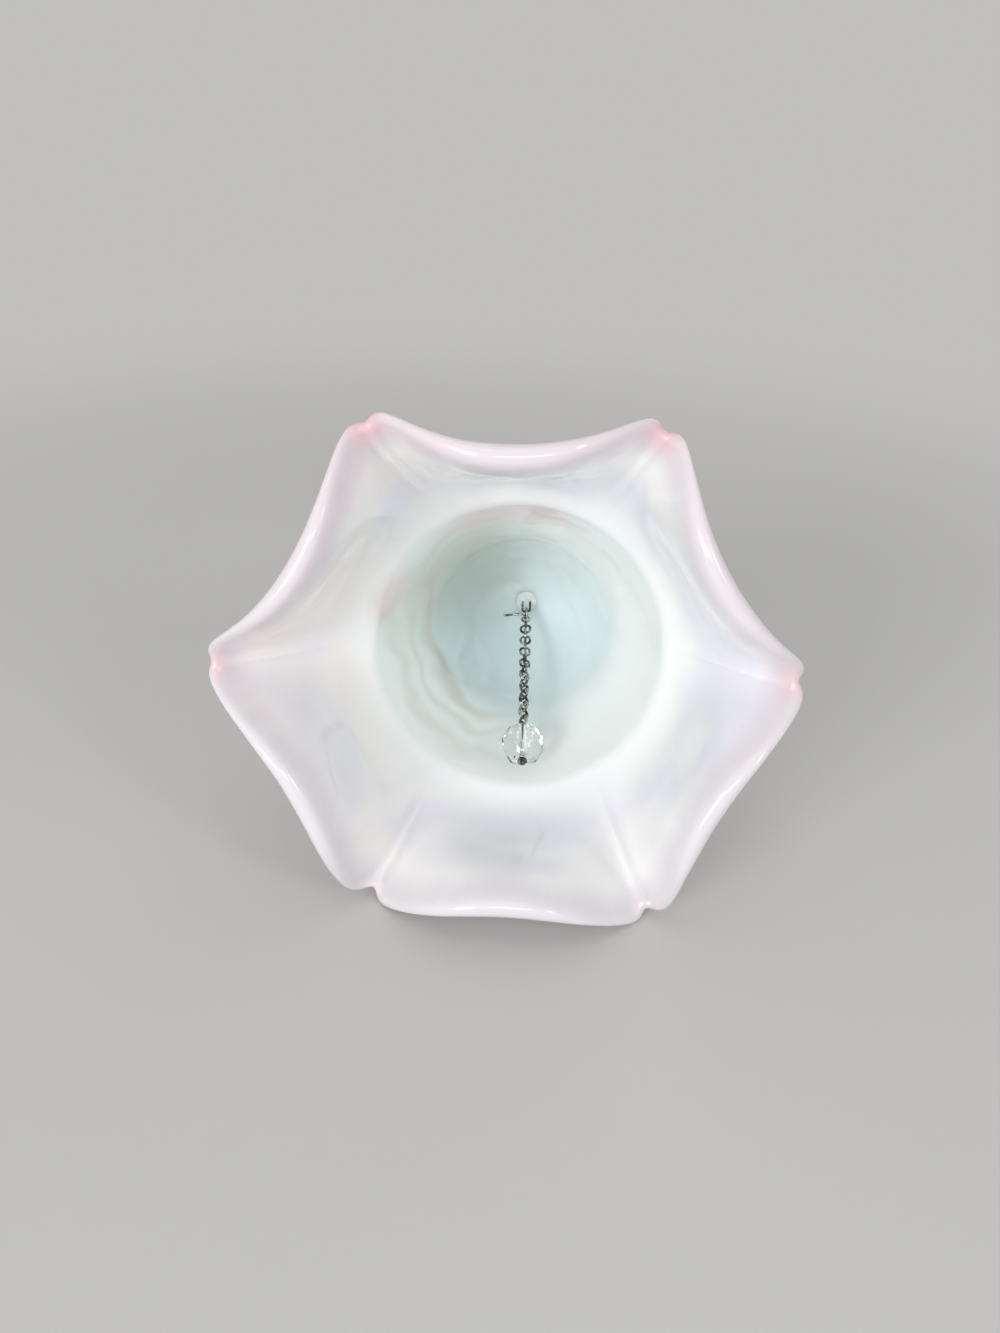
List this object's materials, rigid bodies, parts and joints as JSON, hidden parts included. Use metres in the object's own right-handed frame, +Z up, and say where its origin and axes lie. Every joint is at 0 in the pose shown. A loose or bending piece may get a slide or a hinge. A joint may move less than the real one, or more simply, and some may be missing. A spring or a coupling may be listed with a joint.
{
  "type": "glass table bell",
  "caption": "Hand-crimped opal glass table bell with a flared, cornered skirt, a solid glass handle and a faceted bead clapper on a fine link chain.",
  "frame": {"origin": "bottom centre of the bounding box, on the surface that the bell lies on", "axes": "+Z up; the bell lies on its side as pictured, its mouth towards -Y and slightly up, its handle towards +Y with the knob on the surface"},
  "size_m": [0.1138, 0.173, 0.0955],
  "materials": {
    "opal_glass": "glossy fire-polished opal glass, white to lilac, pink at the rim and corners, pale aqua in the crown",
    "cement": "matt white setting cement",
    "nickel_wire": "bright drawn nickel-plated wire, slightly dulled",
    "clear_glass": "clear cut glass with flat polished facets"
  },
  "bodies": {
    "bell": {"bell_glass": "opal_glass", "socket_cement": "cement", "wire_staple": "nickel_wire"},
    "hanger": {"wire_hanger": "nickel_wire"},
    "link_01": {"chain_link_01": "nickel_wire"},
    "link_02": {"chain_link_02": "nickel_wire"},
    "link_03": {"chain_link_03": "nickel_wire"},
    "link_04": {"chain_link_04": "nickel_wire"},
    "link_05": {"chain_link_05": "nickel_wire"},
    "link_06": {"chain_link_06": "nickel_wire"},
    "link_07": {"chain_link_07": "nickel_wire"},
    "link_08": {"chain_link_08": "nickel_wire"},
    "link_09": {"chain_link_09": "nickel_wire"},
    "link_10": {"chain_link_10": "nickel_wire"},
    "link_11": {"chain_link_11": "nickel_wire"},
    "link_12": {"chain_link_12": "nickel_wire"},
    "link_13": {"chain_link_13": "nickel_wire"},
    "link_14": {"chain_link_14": "nickel_wire"},
    "link_15": {"chain_link_15": "nickel_wire"},
    "link_16": {"chain_link_16": "nickel_wire"},
    "link_17": {"chain_link_17": "nickel_wire"},
    "pin": {"eye_pin": "nickel_wire"},
    "bead": {"clapper_bead": "clear_glass"}
  },
  "joints": [
    {"name": "clapper_swing", "type": "hinge", "parent": "bell", "child": "hanger", "pos_m": [0.0022, 0.00922, 0.02486], "axis": [-0.9959, -0.0233, -0.0876], "range_deg": [0, 54]},
    {"name": "link_01_hinge", "type": "hinge", "parent": "hanger", "child": "link_01", "pos_m": [0.00236, 0.00537, 0.02415], "axis": [0.7621, 0.1466, -0.6307], "range_deg": [-7, 0]},
    {"name": "link_02_hinge", "type": "hinge", "parent": "link_01", "child": "link_02", "pos_m": [0.00244, 0.00315, 0.02374], "axis": [0.6463, -0.1137, 0.7545], "range_deg": [-7, 0]},
    {"name": "link_03_hinge", "type": "hinge", "parent": "link_02", "child": "link_03", "pos_m": [0.00253, 0.00093, 0.02333], "axis": [0.7621, 0.1466, -0.6307], "range_deg": [-7, 0]},
    {"name": "link_04_hinge", "type": "hinge", "parent": "link_03", "child": "link_04", "pos_m": [0.00262, -0.00129, 0.02292], "axis": [0.6463, -0.1137, 0.7545], "range_deg": [-7, 0]},
    {"name": "link_05_hinge", "type": "hinge", "parent": "link_04", "child": "link_05", "pos_m": [0.00271, -0.00351, 0.02251], "axis": [0.7621, 0.1466, -0.6307], "range_deg": [-7, 0]},
    {"name": "link_06_hinge", "type": "hinge", "parent": "link_05", "child": "link_06", "pos_m": [0.0028, -0.00573, 0.0221], "axis": [0.6463, -0.1137, 0.7545], "range_deg": [-7, 0]},
    {"name": "link_07_hinge", "type": "hinge", "parent": "link_06", "child": "link_07", "pos_m": [0.00288, -0.00796, 0.02169], "axis": [0.7621, 0.1466, -0.6307], "range_deg": [-7, 0]},
    {"name": "link_08_hinge", "type": "hinge", "parent": "link_07", "child": "link_08", "pos_m": [0.00297, -0.01018, 0.02128], "axis": [0.6463, -0.1137, 0.7545], "range_deg": [-7, 0]},
    {"name": "link_09_hinge", "type": "hinge", "parent": "link_08", "child": "link_09", "pos_m": [0.00306, -0.0124, 0.02087], "axis": [0.7621, 0.1466, -0.6307], "range_deg": [-7, 0]},
    {"name": "link_10_hinge", "type": "hinge", "parent": "link_09", "child": "link_10", "pos_m": [0.00315, -0.01462, 0.02046], "axis": [0.6463, -0.1137, 0.7545], "range_deg": [-7, 0]},
    {"name": "link_11_hinge", "type": "hinge", "parent": "link_10", "child": "link_11", "pos_m": [0.00324, -0.01684, 0.02005], "axis": [0.7621, 0.1466, -0.6307], "range_deg": [-7, 0]},
    {"name": "link_12_hinge", "type": "hinge", "parent": "link_11", "child": "link_12", "pos_m": [0.00332, -0.01906, 0.01964], "axis": [0.6463, -0.1137, 0.7545], "range_deg": [-7, 0]},
    {"name": "link_13_hinge", "type": "hinge", "parent": "link_12", "child": "link_13", "pos_m": [0.00341, -0.02128, 0.01923], "axis": [0.7621, 0.1466, -0.6307], "range_deg": [-7, 0]},
    {"name": "link_14_hinge", "type": "hinge", "parent": "link_13", "child": "link_14", "pos_m": [0.0035, -0.0235, 0.01882], "axis": [0.6463, -0.1137, 0.7545], "range_deg": [-7, 0]},
    {"name": "link_15_hinge", "type": "hinge", "parent": "link_14", "child": "link_15", "pos_m": [0.00359, -0.02572, 0.01841], "axis": [0.7621, 0.1466, -0.6307], "range_deg": [-7, 0]},
    {"name": "link_16_hinge", "type": "hinge", "parent": "link_15", "child": "link_16", "pos_m": [0.00368, -0.02794, 0.018], "axis": [0.6463, -0.1137, 0.7545], "range_deg": [-7, 0]},
    {"name": "link_17_hinge", "type": "hinge", "parent": "link_16", "child": "link_17", "pos_m": [0.00376, -0.03016, 0.01759], "axis": [0.7621, 0.1466, -0.6307], "range_deg": [-7, 0]},
    {"name": "pin_hinge", "type": "hinge", "parent": "link_17", "child": "pin", "pos_m": [0.00385, -0.03238, 0.01718], "axis": [0.6463, -0.1137, 0.7545], "range_deg": [-7, 0]},
    {"name": "bead_spin", "type": "hinge", "parent": "pin", "child": "bead", "pos_m": [0.00411, -0.03892, 0.01597], "axis": [0.0389, -0.9826, -0.1814], "continuous": true}
  ]
}
